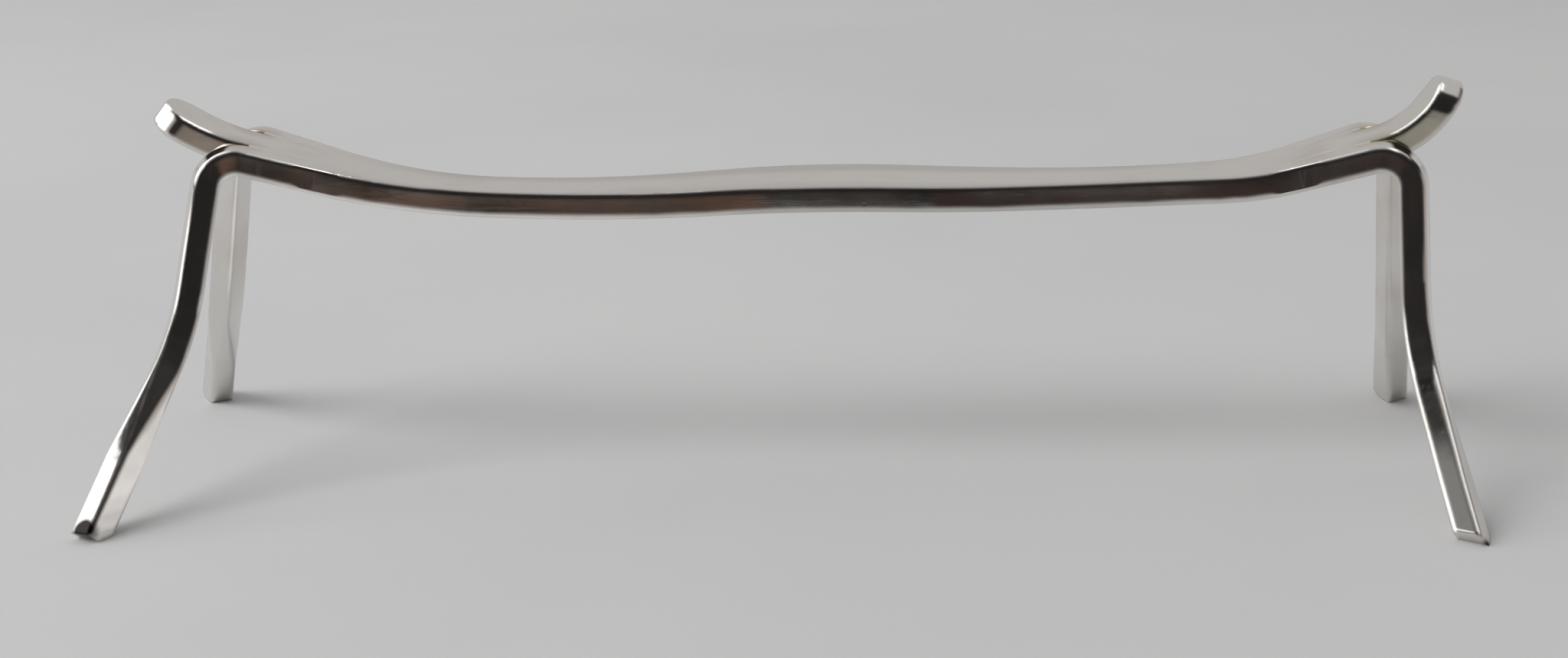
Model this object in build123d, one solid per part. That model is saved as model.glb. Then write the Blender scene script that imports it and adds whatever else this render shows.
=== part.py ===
from build123d import *
import math
import os

# Knife rest: a waved strip bar with two upturned ends, standing on four bent strip legs.
# Each leg lies in a notch at a corner of the bar and is held there by solder.
# Axes: X along the bar, Y from front to rear, Z up from the table. Millimetres and degrees.

# Strip
THICKNESS = 1.8
EDGE_RADIUS = 0.27

# Bar seen from the front: a low crest in the middle, a dip on each side, then a ramp to the end
CREST_HEIGHT = 20.67
CREST_RADIUS = 137.0
WAVE_ANGLE = {"left": 3.9, "right": 1.6}
DIP_RADIUS = {"left": 136.0, "right": 250.0}
DIP_EXIT_ANGLE = {"left": 2.5, "right": 3.3}
LIFT_RADIUS = {"left": 48.6, "right": 22.6}
RAMP_ANGLE = 16.0
RAMP_LENGTH = 6.0
TAB_LENGTH = {"left": 6.3, "right": 6.7}
TAB_TURN = {"left": 23.0, "right": 56.0}

# Bar seen from above: broad at the crest, slim at two waists, broad again where the legs join
CREST_WIDTH = 7.7
WAIST_WIDTH = 5.4
WAIST_REACH = {"left": 25.8, "right": 20.2}
FLARE_ANGLE = 8.2
FLARE_RADIUS = 44.0
TAB_WIDTH = 4.2
TAB_CORNER_RADIUS = 2.0

# Legs: splay is how far a knee or foot stands out past the corner that the shoulder rounds off,
# turn is how far the leg is twisted just below the knee, and the toe is cut off clear of the table
LEG_WIDTH = 2.1
NECK_START = 0.5
ARM_LENGTH = {"left": 7.2, "right": 7.5}
SHOULDER_RADIUS = 2.1
KNEE_RADIUS = 11.0
KNEE_HEIGHT = {"left": 11.3, "right": 9.9}
KNEE_SPACING = {"left": 12.0, "right": 10.0}
KNEE_SPLAY = {"left": 2.1, "right": 0.6}
FOOT_SPACING = 33.0
FOOT_SPLAY = {"left": 6.35, "right": 2.65}
FOOT_TURN = {"left": -54.0, "right": 10.0}
TWIST_LENGTH = 7.0
TOE_RISE = 38.0
TOE_SLANT = {"left": 20.0, "right": -30.0}

# Solder
SOLDER_GAP = 0.1
SOLDER_WEB = 1.0

HALF = THICKNESS / 2
SLOT_WIDTH = LEG_WIDTH + SOLDER_GAP
CUTTER_REACH = 2 * max(TAB_LENGTH.values())
SHORT_EDGE = 1.1 * THICKNESS
FLARE = math.radians(FLARE_ANGLE)
ACROSS = Vector(0, 1, 0)


def slope(angle):
    """Rise per unit of run at an angle in degrees."""
    return math.tan(math.radians(angle))


def tangent_chain(start, *bends):
    """Arcs that follow on from each other, each given as its radius and its turn to the left."""
    edges = []
    point = Vector(start)
    heading = Vector(1, 0)
    for radius, turn in bends:
        edges.append(JernArc(point, heading, radius, turn))
        point = edges[-1] @ 1
        heading = edges[-1] % 1
    return edges


def bar_line(end):
    """Middle line of half the bar: its waves, its ramp and the curl of its upturned end."""
    waves = tangent_chain(
        (0, CREST_HEIGHT - HALF),
        (CREST_RADIUS, -WAVE_ANGLE[end]),
        (DIP_RADIUS[end], WAVE_ANGLE[end] + DIP_EXIT_ANGLE[end]),
        (LIFT_RADIUS[end], RAMP_ANGLE - DIP_EXIT_ANGLE[end]),
    )
    ramp = Line(waves[-1] @ 1, waves[-1] @ 1 + (waves[-1] % 1) * RAMP_LENGTH)
    curl = JernArc(ramp @ 1, ramp % 1, TAB_LENGTH[end] / math.radians(TAB_TURN[end]), TAB_TURN[end])
    return [Plane.XZ * edge for edge in (*waves, ramp, curl)]


def strip(edges, width):
    """A flat strip of one width along a middle line."""
    start = Plane(edges[0] @ 0, x_dir=ACROSS, z_dir=edges[0] % 0)
    return sweep(start * Rectangle(width, THICKNESS), path=Wire(edges))


def round_sides(solid):
    """Round the long edges of a strip, and with them any that run on smoothly."""
    sides = [edge for edge in solid.edges() if abs(edge.center().Y) > HALF and edge.length > SHORT_EDGE]
    return fillet(sides, EDGE_RADIUS)


def side_line(reach, end):
    """Rear side of half the bar seen from above, out to the given reach."""
    waist = WAIST_REACH[end]
    swell = 2 * math.degrees(math.atan((CREST_WIDTH - WAIST_WIDTH) / 2 / waist))
    swell_radius = waist / 2 / math.sin(math.radians(swell))
    flare = math.degrees(math.atan(slope(FLARE_ANGLE) / math.cos(math.radians(RAMP_ANGLE))))
    curves = tangent_chain(
        (0, CREST_WIDTH / 2),
        (swell_radius, -swell),
        (swell_radius, swell),
        (FLARE_RADIUS, flare),
    )
    start = curves[-1] @ 1
    stop = Vector(reach, start.Y + (reach - start.X) * slope(flare))
    return [*curves, Line(start, stop)]


def span(line, end):
    """Half of the bar, from its crest to where the slots for the legs begin."""
    ramp = line[-2]
    reach = (ramp @ 0 + (ramp % 0) * NECK_START).X
    side = side_line(reach, end)
    edge = Polyline(side[-1] @ 1, (reach, 0), (0, 0), side[0] @ 0)
    quarter = make_face([*side, *edge.edges()])
    outline = quarter + mirror(quarter, about=Plane.XZ)
    return round_sides(strip(line[:-1], 2 * CREST_WIDTH) & extrude(outline, 2 * CREST_HEIGHT))


def tab(line):
    """The upturned end of the bar, with a rounded tip."""
    body = strip(line[-2:], TAB_WIDTH)
    sides = [edge for edge in body.edges() if abs(edge.center().Y) > HALF]
    corners = ShapeList(sides).sort_by_distance(line[-1] @ 1)[:2]
    return round_sides(fillet(corners, TAB_CORNER_RADIUS))


def slot_plane(line, end):
    """Plane of the rear slot: origin at the outer end of its root, X along it, Z out of its top."""
    ramp = line[-2]
    heading = ramp % 0
    half_width = (side_line((ramp @ 0).X, end)[-1] @ 1).Y
    start = NECK_START - SLOT_WIDTH * math.sin(FLARE)
    origin = ramp @ 0 + heading * start + ACROSS * (half_width + start * slope(FLARE_ANGLE))
    along = heading * math.cos(FLARE) + ACROSS * math.sin(FLARE)
    return Plane(origin, x_dir=along, z_dir=heading.cross(ACROSS))


def slot(plane):
    """Cutter for the notch that takes the rear leg."""
    floor = Pos(0, -SLOT_WIDTH) * Rectangle(CUTTER_REACH, CUTTER_REACH, align=Align.MIN)
    return extrude(plane * floor, CUTTER_REACH, both=True)


def leg_root(plane):
    """Middle of the rear leg's end in its slot."""
    return plane.from_local_coords(Vector(SOLDER_GAP, -LEG_WIDTH / 2))


def leg_section(plane):
    """Section of the rear leg at its end in the slot."""
    start = Plane(leg_root(plane), x_dir=plane.y_dir, z_dir=plane.x_dir)
    return start * RectangleRounded(LEG_WIDTH, THICKNESS, EDGE_RADIUS)


def leg(plane, end):
    """Rear leg: along the slot, down over the shoulder, out from the knee, twisted and down to the foot."""
    root = leg_root(plane)
    corner = plane.from_local_coords(Vector(ARM_LENGTH[end], -LEG_WIDTH / 2))
    knee = Vector(corner.X + KNEE_SPLAY[end], KNEE_SPACING[end] / 2, KNEE_HEIGHT[end])
    foot = Vector(corner.X + FOOT_SPLAY[end], FOOT_SPACING / 2, 0)
    below = foot + (foot - knee).normalized() * 2 * LEG_WIDTH
    path = FilletPolyline(root, corner, knee, below, radius=[SHOULDER_RADIUS, KNEE_RADIUS])
    *bends, shin = path.edges().sort_by_distance(root)
    upper = sweep(leg_section(plane), path=Wire(bends))
    shin_top = upper.faces().sort_by_distance(shin @ 0)[0]
    heading = shin % 0
    turned = shin_top.rotate(Axis(shin @ 0, heading), -FOOT_TURN[end])
    ankle = Pos(heading * TWIST_LENGTH) * turned
    twist = loft([shin_top, ankle], ruled=True)
    ending = extrude(ankle, shin.length - TWIST_LENGTH, dir=heading)
    toe = Plane(foot, z_dir=(-slope(TOE_SLANT[end]), -slope(TOE_RISE), 1))
    standing = split(upper + twist + ending, bisect_by=Plane.XY, keep=Keep.TOP)
    return split(standing, bisect_by=toe, keep=Keep.TOP)


def solder_seam(plane, bar, rear_leg):
    """Solder behind and beside the root of the rear leg, ending in a web where the strips part."""
    film = extrude(leg_section(plane), -SOLDER_GAP)
    wall_start = plane.origin.Y - SLOT_WIDTH * math.cos(FLARE)
    parting = (TAB_WIDTH / 2 - wall_start) / math.sin(FLARE)
    width = SOLDER_GAP + 2 * EDGE_RADIUS
    blank = Pos(0, -SLOT_WIDTH - EDGE_RADIUS) * Rectangle(parting + SOLDER_WEB, width, align=Align.MIN)
    return film + extrude(plane * blank, HALF, both=True) - rear_leg - bar


halves = []
pieces = {}
for end in ("left", "right"):
    line = bar_line(end)
    plane = slot_plane(line, end)
    notch = slot(plane)
    half_bar = span(line, end) + tab(line) - notch - mirror(notch, about=Plane.XZ)
    rear_leg = leg(plane, end)
    seam = solder_seam(plane, half_bar, rear_leg)
    if end == "left":
        half_bar, rear_leg, seam = (mirror(piece, about=Plane.YZ) for piece in (half_bar, rear_leg, seam))
    halves.append(half_bar)
    for name, piece in ((end + "_leg", rear_leg), (end + "_solder_seam", seam)):
        pieces["rear_" + name] = piece
        pieces["front_" + name] = mirror(piece, about=Plane.XZ)
pieces["rest_bar"] = halves[0] + halves[1]

# The origin is the middle of the rest's length, on the table
middle = Compound(pieces.values()).bounding_box().center().X
os.makedirs("parts", exist_ok=True)
for name, piece in pieces.items():
    export_step(Pos(-middle, 0, 0) * piece, "parts/" + name + ".step")
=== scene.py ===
import math

import bpy
from mathutils import Matrix, Vector


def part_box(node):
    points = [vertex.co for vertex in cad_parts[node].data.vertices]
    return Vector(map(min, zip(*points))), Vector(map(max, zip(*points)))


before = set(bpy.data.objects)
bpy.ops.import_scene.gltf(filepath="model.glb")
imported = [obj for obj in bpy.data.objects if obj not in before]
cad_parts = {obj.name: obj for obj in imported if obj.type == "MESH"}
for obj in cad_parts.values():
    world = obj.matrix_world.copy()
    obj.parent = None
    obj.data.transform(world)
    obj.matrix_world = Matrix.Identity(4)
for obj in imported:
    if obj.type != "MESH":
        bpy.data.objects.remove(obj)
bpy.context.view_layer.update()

# Places and lengths are in millimetres where nothing else is said
MM = 0.001
PER_METRE = 1000.0

# Camera, as it stands to the rest in the photograph: pixels, millimetres and degrees, the clip in metres
IMAGE_WIDTH = 2048
FOCAL_PIXELS = 3550.0
SENSOR_WIDTH = 36.0
AIM = Vector((0.06, 0.0, 9.75))
DISTANCE = 188.9
TILT = 15.09
YAW = 3.31
ROLL = -1.01
CLIP_START = 0.01

# Colours of the metals
SILVER = (0.80, 0.78, 0.75, 1)
TARNISH = (0.56, 0.47, 0.39, 1)
# Grey painted toward the bar's rims: painted shade, standing for a darker reflection there
RIM_SHADE_GREY = (0.56, 0.54, 0.51, 1)
COPPER_TINT = (0.46, 0.30, 0.21, 1)
GOLD_TINT = (0.52, 0.46, 0.27, 1)
# Near black painted on the toes: painted shadow at each foot's end, where it meets the floor
TOE_SHADOW = (0.018, 0.016, 0.015, 1)
SOLDER = (0.79, 0.76, 0.71, 1)
SOLDER_DULL = (0.72, 0.65, 0.53, 1)

# Colours of the floor, the room and the cards
FLOOR = (0.53, 0.53, 0.53, 1)
FLOOR_GREY = (0.50, 0.50, 0.505, 1)
HORIZON = (0.51, 0.495, 0.485, 1)
ZENITH = (0.52, 0.52, 0.52, 1)
CARD_BLACK = (0.012, 0.011, 0.011, 1)
CARD_BROWN = (0.060, 0.036, 0.028, 1)
CARD_TAN = (0.24, 0.14, 0.097, 1)
CARD_RUST = (0.075, 0.043, 0.038, 1)
CARD_UMBER = (0.024, 0.016, 0.013, 1)
CARD_GREY = (0.42, 0.42, 0.42, 1)
CARD_FOOT = (0.36, 0.35, 0.34, 1)
CARD_PINK = (0.46, 0.40, 0.38, 1)
CARD_WHITE = (0.92, 0.92, 0.92, 1)
CARD_BEIGE = (0.48, 0.41, 0.35, 1)
CARD_OLIVE = (0.62, 0.60, 0.52, 1)

# Noise: grains per millimetre, detail, and roughness where it isn't the usual
CLOUD_NOISE = (0.16, 5.0)
STREAK_NOISE = (1.0, 3.0, 0.7)
SPECK_NOISE = (0.45, 3.0)
PITTED_NOISE = (2.2, 2.0)
CARD_NOISE = (0.06, 2.0)
SPECK_GRAIN = 0.8
FLOOR_GRAIN = 0.01
BLACK_GRAIN = 0.06
WHITE_GRAIN = 0.05
FADED_GRAIN = 0.05

# Ranges of a value: where it starts and stops, then what it gives there, 0 and 1 where not said
STAIN = (0.45, 0.85, 0.02, 0.5)
TINT_CLOUDS = (0.2, 0.6, 0.25, 0.6)
SPECK_AREAS = (0.5, 0.75)
SPECK_SIZE = (0.04, 0.12, 1.0, 0.0)
PITTED_AREAS = (0.35, 0.65)
UPWARD = (0.6, 0.9)
SCRATCHES = (0.50, 0.78)
DULLING = (0.3, 0.75)
PLAIN_CLOUDS = (0.35, 0.7)
SKY_RISE = (0.1, 0.9)

# What stains, scratches and pits add to the metal's colour, roughness and height
PIT_STAIN = 0.35
CLOUD_DULL = 0.08
SCRATCH_DULL = 0.08
SCRATCH_HEIGHT = 0.1
PIT_HEIGHT = -0.6
CLOUD_HEIGHT = 1.2
BUMP_STRENGTH = 0.25
BUMP_DEPTH = 0.04 * MM

# Least roughness of the metals, and the roughness of the floor and the cards
POLISH = 0.06
SOLDER_POLISH = 0.10
DULL = 0.9

# How fine the scratches are along each axis: they run along the strips, and all ways on the solder
BAR_SCRATCHES = (0.1, 2.5, 2.5)
LEG_SCRATCHES = (2.5, 2.5, 0.15)
SOLDER_SCRATCHES = (2.0, 2.0, 2.0)

# Rims of the bar greyed by painted shade: how they fade along it away from its middle, and for each
# where across the bar it begins, where it is full, and its strength
RIM_SHADE_REACH = (22.0, 32.0, 1.0, 0.0)
SHADED_RIMS = ((0.4, 2.4, 0.8), (-1.6, -3.2, 0.45))

# Marks round a point: inner and outer reach, then the strength of a tint, or of the painted shadow on a
# toe
CROTCH_MARK = (0.4, 2.4, 1.0)
TOE_SHADOW_MARK = (0.5, 1.1, 2.0)
PITTED_MARK = (0.8, 2.6)

# How far from the bar's middle line the legs part from its ends
CROTCH_REACH = 2.2

# How far in from the corner of a foot's box its toe lies, the centre of its painted shadow
TOE_SHADOW_INSET = {"left": (1.0, 0.6, 0.8), "right": (0.0, 0.0, 0.0)}

# Where the pitted patch lies from the middle of the front left seam
PITTED_OFFSET = Vector((4.0, -1.2, -0.6))

# How far worn edges look rounded, and how that fades in with the distance from a leg's end
WORN_EDGE = 0.45 * MM
WORN_SAMPLES = 6
JOINT_CLEAR = (0.9, 1.8)

# Upright cards: the planes they stand in, and their tops
CARD_LEFT = -95.0
CARD_RIGHT = 125.0
CARD_FRONT = -66.0
CARD_BACK = 60.0
FRONT_TOP = 190.0
SIDE_TOP = 110.0

# Level sheets: left, right, front, back and height
FLOOR_SHEET = (-4000.0, 4000.0, -4000.0, 4000.0, 0.0)
ROOF_CARD = (-150.0, -20.0, CARD_FRONT, 0.0, 150.0)
FLAG_CARD = (-69.5, -50.0, -20.0, 5.0, 24.0)
FLOOR_STRIP = (-45.0, 45.0, CARD_FRONT, -54.0, 0.1)
FLOOR_CARD = (-41.0, -5.0, -17.0, 2.0, 0.1)

# Front card: the grey foot's top by the distance from the middle, the foot's edge, and the brown clouds
FOOT_TOP = (18.0, 29.0, 5.4, 8.2)
FOOT_EDGE = (-0.5, 0.4, 1.0, 0.0)
CARD_CLOUDS = (0.45, 0.7, 0.0, 0.4)

# Low patches of the front card: middle, reach to each side, height and colour
PATCHES = (
    (-23.5, 16.0, 6.8, CARD_TAN),
    (28.0, 11.0, 6.9, CARD_RUST),
    (-34.6, 4.6, 6.0, CARD_UMBER),
    (-26.0, 14.0, 4.2, CARD_UMBER),
    (26.0, 14.0, 4.2, CARD_UMBER),
)
PATCH_CORE = 0.7
PATCH_BLUR = 0.3

# Low corners of the front card: side, distance from the middle and colour
CORNERS = ((-1.0, 50.0, CARD_BEIGE), (1.0, 48.0, CARD_OLIVE))
CORNER_TOP = (12.0, 15.0, 1.0, 0.0)
CORNER_BLUR = 4.0

# Where the front card turns pink at its right end, where pink ends above, and where the roof turns black
PINK_START = (80.0, 90.0)
PINK_TOP = (45.0, 55.0)
ROOF_FADE = (-85.0, -45.0)

# Soft lamps: name, direction, distance in metres, width and height in metres, power in watts,
# whether it lights the floor, and whether it shows in the metal
LAMPS = (
    ("window", (-0.903, -0.209, 0.375), 1.0, (0.84, 0.70), 3.6, True, True),
    ("skylight", (0.31, 0.02, 0.94), 1.0, (0.62, 0.22), 0.8, False, True),
    ("rear_light", (-0.54, 0.20, 0.80), 1.0, (0.62, 0.62), 2.4, False, True),
    ("side_light", (-0.77, 0.48, 0.36), 1.0, (0.50, 0.44), 1.3, False, True),
    ("overhead", (-0.58, -0.44, 0.68), 1.2, (0.7, 0.7), 8.6, True, False),
)
ROOM_STRENGTH = 1.0

# Sockets of a mix that belong to colours
MIX_FIRST = 6
MIX_SECOND = 7
MIX_RESULT = 2


class Tree:
    """A node tree, with short ways to add a node and join it to others."""

    def __init__(self, tree):
        self.tree = tree
        tree.nodes.clear()

    def add(self, kind, links=None, values=None, **settings):
        """A node of a kind, with its settings, links into its inputs and values on its inputs."""
        made = self.tree.nodes.new(kind)
        for name, value in settings.items():
            setattr(made, name, value)
        for key, socket in (links or {}).items():
            self.tree.links.new(socket, made.inputs[key])
        for key, value in (values or {}).items():
            made.inputs[key].default_value = value
        return made

    def axes(self, vector):
        """The X, Y and Z of a vector."""
        return self.add("ShaderNodeSeparateXYZ", {"Vector": vector}).outputs

    def noise(self, vector, scale, detail=4.0, roughness=0.55):
        """A noise value at a point."""
        values = {"Scale": scale, "Detail": detail, "Roughness": roughness}
        return self.add("ShaderNodeTexNoise", {"Vector": vector}, values).outputs["Fac"]

    def ranged(self, value, low, high, to_low=0.0, to_high=1.0):
        """A value brought from one range into another, and held inside it."""
        values = {"From Min": low, "From Max": high, "To Min": to_low, "To Max": to_high}
        kind = "ShaderNodeMapRange"
        return self.add(kind, {"Value": value}, values, interpolation_type="SMOOTHSTEP").outputs["Result"]

    def mixed(self, factor, first, second):
        """A colour between two, each a colour or a socket."""
        links = {"Factor": factor}
        values = {}
        for key, colour in ((MIX_FIRST, first), (MIX_SECOND, second)):
            if isinstance(colour, tuple):
                values[key] = colour
            else:
                links[key] = colour
        return self.add("ShaderNodeMix", links, values, data_type="RGBA").outputs[MIX_RESULT]

    def maths(self, operation, first, second):
        """Two values joined by an operation, the second a number or a socket."""
        links = {0: first}
        values = {}
        if isinstance(second, float):
            values[1] = second
        else:
            links[1] = second
        return self.add("ShaderNodeMath", links, values, operation=operation).outputs[0]

    def times(self, first, second):
        """The product of two values, the second a number or a socket."""
        return self.maths("MULTIPLY", first, second)

    def plus(self, first, second):
        """The sum of two values, the second a number or a socket."""
        return self.maths("ADD", first, second)

    def apart(self, value, middle):
        """How far a value lies from a middle, to either side."""
        return self.maths("ABSOLUTE", self.maths("SUBTRACT", value, middle), 0.0)

    def surface(self, links, values):
        """The surface that a material's tree ends in."""
        shader = self.add("ShaderNodeBsdfPrincipled", links, values)
        self.add("ShaderNodeOutputMaterial", {"Surface": shader.outputs["BSDF"]})


def new_material(name):
    """An empty material and its tree."""
    material = bpy.data.materials.new(name)
    material.use_nodes = True
    return material, Tree(material.node_tree)


def millimetres(tree, stretch=(1.0, 1.0, 1.0)):
    """The point on the object in millimetres, squeezed or stretched along each axis."""
    place = tree.add("ShaderNodeTexCoord").outputs["Object"]
    scale = tuple(PER_METRE * factor for factor in stretch)
    return tree.add("ShaderNodeMapping", {"Vector": place}, {"Scale": scale}).outputs["Vector"]


def near(tree, point, centre, inner, outer):
    """1 within the inner distance of a centre, falling to 0 at the outer one."""
    away = tree.add("ShaderNodeVectorMath", {0: point}, {1: centre}, operation="DISTANCE")
    return tree.ranged(away.outputs["Value"], inner, outer, 1.0, 0.0)


def middle_of(node):
    """Middle of a CAD node's box."""
    low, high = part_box(node)
    return tuple((low + high) / 2 * PER_METRE)


def crotch(node):
    """Where a leg parts from the bar's end, at the outer end of its solder seam."""
    low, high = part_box(node)
    outer = low if "left" in node else high
    side = -CROTCH_REACH if "front" in node else CROTCH_REACH
    return outer[0] * PER_METRE, side, high[2] * PER_METRE


def toe_of(node):
    """The toe of a leg's foot."""
    low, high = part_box(node)
    inset = TOE_SHADOW_INSET["left" if "left" in node else "right"]
    along = low[0] * PER_METRE + inset[0] if "left" in node else high[0] * PER_METRE - inset[0]
    across = low[1] * PER_METRE + inset[1] if "front" in node else high[1] * PER_METRE - inset[1]
    return along, across, low[2] * PER_METRE + inset[2]


def joint_of(node):
    """How far along the bar a leg's end lies, at the inner end of its solder seam."""
    low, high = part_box(node)
    inner = high if "left" in node else low
    return inner[0] * PER_METRE


def rim_shaded(tree, point, colour, rims):
    """A colour that greys toward the bar's rims, along its middle stretch, as painted shade."""
    axes = tree.axes(point)
    amid = tree.ranged(tree.apart(axes["X"], 0.0), *RIM_SHADE_REACH)
    for start, stop, amount in rims:
        rim = tree.times(tree.ranged(axes["Y"], start, stop, 0.0, amount), amid)
        colour = tree.mixed(rim, colour, RIM_SHADE_GREY)
    return colour


def tinted(tree, point, clouds, colour, tints):
    """A colour that turns unevenly into each tint round its centre; on a toe the tint is a painted shadow.
    """
    uneven = tree.ranged(clouds, *TINT_CLOUDS)
    for centre, tint, inner, outer, amount in tints:
        patch = tree.times(near(tree, point, centre, inner, outer), uneven)
        colour = tree.mixed(tree.times(patch, amount), colour, tint)
    return colour


def pitting(tree, point, pits):
    """How pitted the metal is: by scattered specks, and on upper faces by rough patches round centres."""
    cells = tree.add("ShaderNodeTexVoronoi", {"Vector": point}, {"Scale": SPECK_GRAIN})
    areas = tree.ranged(tree.noise(point, *SPECK_NOISE), *SPECK_AREAS)
    pitted = tree.times(tree.ranged(cells.outputs["Distance"], *SPECK_SIZE), areas)
    facing = tree.add("ShaderNodeNewGeometry").outputs["True Normal"]
    upward = tree.ranged(tree.axes(facing)["Z"], *UPWARD)
    rough = tree.ranged(tree.noise(point, *PITTED_NOISE), *PITTED_AREAS)
    for centre, inner, outer in pits:
        patch = tree.times(near(tree, point, centre, inner, outer), rough)
        pitted = tree.maths("MAXIMUM", pitted, tree.times(patch, upward))
    return pitted


def worn_normal(tree, point, joints):
    """The normal of edges that look worn round, except beside the joints, where plating hides the seam."""
    along = tree.axes(point)["X"]
    nearest, *others = [tree.apart(along, joint) for joint in joints]
    for other in others:
        nearest = tree.maths("MINIMUM", nearest, other)
    radius = tree.ranged(nearest, *JOINT_CLEAR, 0.0, WORN_EDGE)
    return tree.add("ShaderNodeBevel", {"Radius": radius}, samples=WORN_SAMPLES).outputs["Normal"]


def metal(name, colours, stretch, polish, tints=(), pits=(), rims=(), joints=()):
    """A polished metal with clouds of tarnish, fine scratches, pits, tints, painted shadow on the toes,
    rims greyed as painted shade and worn edges.
    """
    material, tree = new_material(name)
    point = millimetres(tree)
    clouds = tree.noise(point, *CLOUD_NOISE)
    clean, tarnished = colours

    colour = tree.mixed(tree.ranged(clouds, *STAIN), clean, tarnished)
    # Painted shade: the colour greys toward the bar's rims
    colour = rim_shaded(tree, point, colour, rims)
    colour = tinted(tree, point, clouds, colour, tints)
    pitted = pitting(tree, point, pits)
    colour = tree.mixed(tree.times(pitted, PIT_STAIN), colour, tarnished)

    scratches = tree.ranged(tree.noise(millimetres(tree, stretch), *STREAK_NOISE), *SCRATCHES)
    roughness = tree.ranged(clouds, *DULLING, polish, polish + CLOUD_DULL)
    roughness = tree.plus(roughness, tree.times(scratches, SCRATCH_DULL))
    height = tree.plus(tree.times(scratches, SCRATCH_HEIGHT), tree.times(pitted, PIT_HEIGHT))
    height = tree.plus(height, tree.times(clouds, CLOUD_HEIGHT))

    links = {"Height": height}
    if joints:
        links["Normal"] = worn_normal(tree, point, joints)
    bump = tree.add("ShaderNodeBump", links, {"Strength": BUMP_STRENGTH, "Distance": BUMP_DEPTH})
    links = {"Base Color": colour, "Roughness": roughness, "Normal": bump.outputs["Normal"]}
    tree.surface(links, {"Metallic": 1.0})
    return material


def dress():
    """Give every CAD node its metal."""
    seams = [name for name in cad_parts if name.endswith("solder_seam")]
    legs = [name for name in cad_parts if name.endswith("leg")]
    tints = [(crotch(name), COPPER_TINT if "left" in name else GOLD_TINT, *CROTCH_MARK) for name in seams]
    # Painted shadow: a near black mark on each leg's toe
    toes = [(toe_of(name), TOE_SHADOW, *TOE_SHADOW_MARK) for name in legs]
    root = Vector(middle_of("front_left_solder_seam")) + PITTED_OFFSET
    pits = [(tuple(root), *PITTED_MARK)]
    joints = [joint_of("front_left_solder_seam"), joint_of("front_right_solder_seam")]
    bar = metal("bar_silver", (SILVER, TARNISH), BAR_SCRATCHES, POLISH, tints, pits, SHADED_RIMS, joints)
    leg = metal("leg_silver", (SILVER, TARNISH), LEG_SCRATCHES, POLISH, tints + toes, pits, (), joints)
    solder = metal("solder", (SOLDER, SOLDER_DULL), SOLDER_SCRATCHES, SOLDER_POLISH)
    for name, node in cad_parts.items():
        node.data.materials.clear()
        if name in seams:
            node.data.materials.append(solder)
        elif name in legs:
            node.data.materials.append(leg)
        else:
            node.data.materials.append(bar)


def plain(name, colours, scale):
    """A dull surface clouded between two colours."""
    material, tree = new_material(name)
    clouds = tree.noise(millimetres(tree), scale)
    colour = tree.mixed(tree.ranged(clouds, *PLAIN_CLOUDS), *colours)
    tree.surface({"Base Color": colour}, {"Roughness": DULL})
    return material


def card_felt():
    """Dark felt with a grey foot, brown clouds, low patches, pale low corners and a pink right end."""
    material, tree = new_material("card_felt")
    point = millimetres(tree)
    axes = tree.axes(point)
    foot_top = tree.ranged(tree.apart(axes["X"], 0.0), *FOOT_TOP)
    foot = tree.ranged(tree.maths("SUBTRACT", axes["Z"], foot_top), *FOOT_EDGE)
    colour = tree.mixed(foot, CARD_BLACK, CARD_FOOT)
    brown = tree.ranged(tree.noise(point, *CARD_NOISE), *CARD_CLOUDS)
    colour = tree.mixed(brown, colour, CARD_BROWN)
    for middle, reach, height, shade in PATCHES:
        across = tree.ranged(tree.apart(axes["X"], middle), PATCH_CORE * reach, reach, 1.0, 0.0)
        under = tree.ranged(axes["Z"], height - PATCH_BLUR, height + PATCH_BLUR, 1.0, 0.0)
        colour = tree.mixed(tree.times(across, under), colour, shade)
    low = tree.ranged(axes["Z"], *CORNER_TOP)
    for side, inner, shade in CORNERS:
        beyond = tree.ranged(tree.times(axes["X"], side), inner, inner + CORNER_BLUR)
        colour = tree.mixed(tree.times(low, beyond), colour, shade)
    pink = tree.times(tree.ranged(axes["X"], *PINK_START), tree.ranged(axes["Z"], *PINK_TOP, 1.0, 0.0))
    colour = tree.mixed(pink, colour, CARD_PINK)
    tree.surface({"Base Color": colour}, {"Roughness": DULL})
    return material


def faded_felt(name, axis, start, stop, first):
    """Felt that fades along an axis from a first colour to black."""
    material, tree = new_material(name)
    point = millimetres(tree)
    uneven = tree.mixed(tree.noise(point, FADED_GRAIN), first, CARD_FOOT)
    colour = tree.mixed(tree.ranged(tree.axes(point)[axis], start, stop), uneven, CARD_BLACK)
    tree.surface({"Base Color": colour}, {"Roughness": DULL})
    return material


def level(left, right, front, back, height):
    """Corners of a level sheet."""
    return (left, front, height), (right, front, height), (right, back, height), (left, back, height)


def upright(start, stop, top):
    """Corners of a sheet that stands on the floor from a start to a stop."""
    return (*start, 0.0), (*stop, 0.0), (*stop, top), (*start, top)


def sheet(name, corners, material):
    """A flat stage surface through four corners."""
    mesh = bpy.data.meshes.new(name)
    mesh.from_pydata([Vector(corner) * MM for corner in corners], [], [(0, 1, 2, 3)])
    mesh.materials.append(material)
    made = bpy.data.objects.new(name, mesh)
    bpy.context.scene.collection.objects.link(made)
    return made


def soft_lamp(name, toward, distance, size, power, lights, mirrored):
    """A soft lamp that faces the rest, and may light the floor, show in the metal or do both."""
    lamp = bpy.data.lights.new(name, "AREA")
    lamp.shape = "RECTANGLE"
    lamp.size, lamp.size_y = size
    lamp.energy = power
    made = bpy.data.objects.new(name, lamp)
    direction = Vector(toward).normalized()
    made.location = direction * distance
    made.rotation_euler = direction.to_track_quat("Z", "Y").to_euler()
    made.visible_camera = False
    made.visible_diffuse = lights
    made.visible_glossy = mirrored
    bpy.context.scene.collection.objects.link(made)


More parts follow.
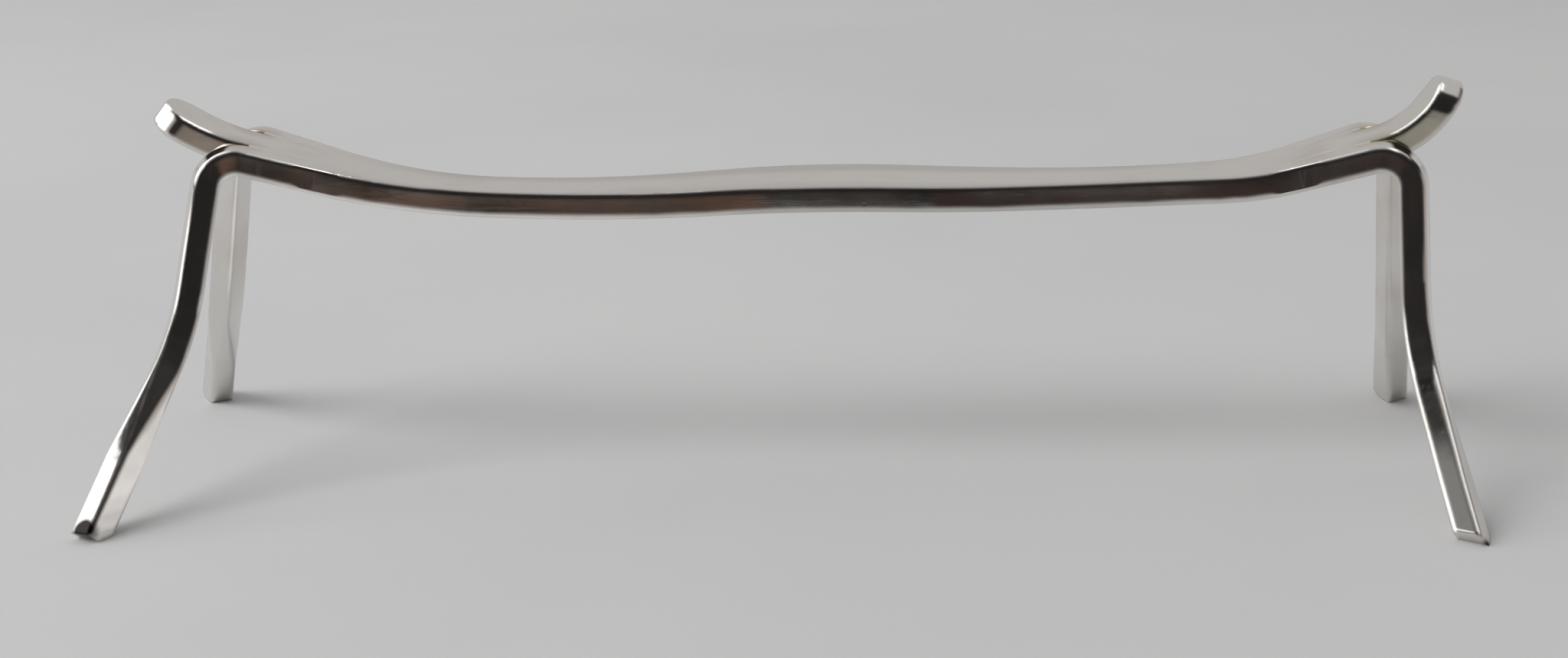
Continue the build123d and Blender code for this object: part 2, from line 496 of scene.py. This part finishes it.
def room():
    """A pale room all round, a little darker and warmer low down."""
    world = bpy.data.worlds.new("room")
    bpy.context.scene.world = world
    world.use_nodes = True
    tree = Tree(world.node_tree)
    rise = tree.axes(tree.add("ShaderNodeTexCoord").outputs["Generated"])["Z"]
    colour = tree.mixed(tree.ranged(rise, *SKY_RISE), HORIZON, ZENITH)
    light = tree.add("ShaderNodeBackground", {"Color": colour}, {"Strength": ROOM_STRENGTH})
    tree.add("ShaderNodeOutputWorld", {"Surface": light.outputs["Background"]})


def studio():
    """A pale floor, cards that only mirrored rays see, soft lamps and the room."""
    sheet("floor", level(*FLOOR_SHEET), plain("floor_paper", (FLOOR, FLOOR_GREY), FLOOR_GRAIN))
    felt = card_felt()
    black = plain("black_felt", (CARD_BLACK, CARD_BROWN), BLACK_GRAIN)
    white = plain("white_felt", (CARD_WHITE, FLOOR), WHITE_GRAIN)
    grey = faded_felt("roof_felt", "X", *ROOF_FADE, CARD_GREY)
    pink = faded_felt("side_felt", "Z", *PINK_TOP, CARD_PINK)
    for name, corners, material in (
        ("front_card", upright((CARD_LEFT, CARD_FRONT), (CARD_RIGHT, CARD_FRONT), FRONT_TOP), felt),
        ("right_card", upright((CARD_RIGHT, CARD_FRONT), (CARD_RIGHT, CARD_BACK), SIDE_TOP), pink),
        ("roof_card", level(*ROOF_CARD), grey),
        ("flag_card", level(*FLAG_CARD), black),
        ("floor_strip", level(*FLOOR_STRIP), black),
        ("floor_card", level(*FLOOR_CARD), white),
    ):
        card = sheet(name, corners, material)
        for ray in ("camera", "diffuse", "transmission", "volume_scatter", "shadow"):
            setattr(card, "visible_" + ray, False)
    for lamp in LAMPS:
        soft_lamp(*lamp)
    room()


def camera():
    """The camera at the photograph's viewing angle."""
    tilt, yaw, roll = (math.radians(angle) for angle in (TILT, YAW, ROLL))
    ahead = Vector((-math.sin(yaw) * math.cos(tilt), math.cos(yaw) * math.cos(tilt), -math.sin(tilt)))
    level_right = Vector((math.cos(yaw), math.sin(yaw), 0))
    upright_up = level_right.cross(ahead)
    right = level_right * math.cos(roll) + upright_up * math.sin(roll)
    up = upright_up * math.cos(roll) - level_right * math.sin(roll)
    data = bpy.data.cameras.new("camera")
    data.sensor_width = SENSOR_WIDTH
    data.lens = FOCAL_PIXELS / IMAGE_WIDTH * SENSOR_WIDTH
    data.clip_start = CLIP_START
    made = bpy.data.objects.new("camera", data)
    turn = Matrix((right, up, -ahead)).transposed().to_4x4()
    made.matrix_world = Matrix.Translation((AIM - ahead * DISTANCE) * MM) @ turn
    bpy.context.scene.collection.objects.link(made)
    bpy.context.scene.camera = made


dress()
studio()
camera()
bpy.context.scene.view_settings.view_transform = "Standard"
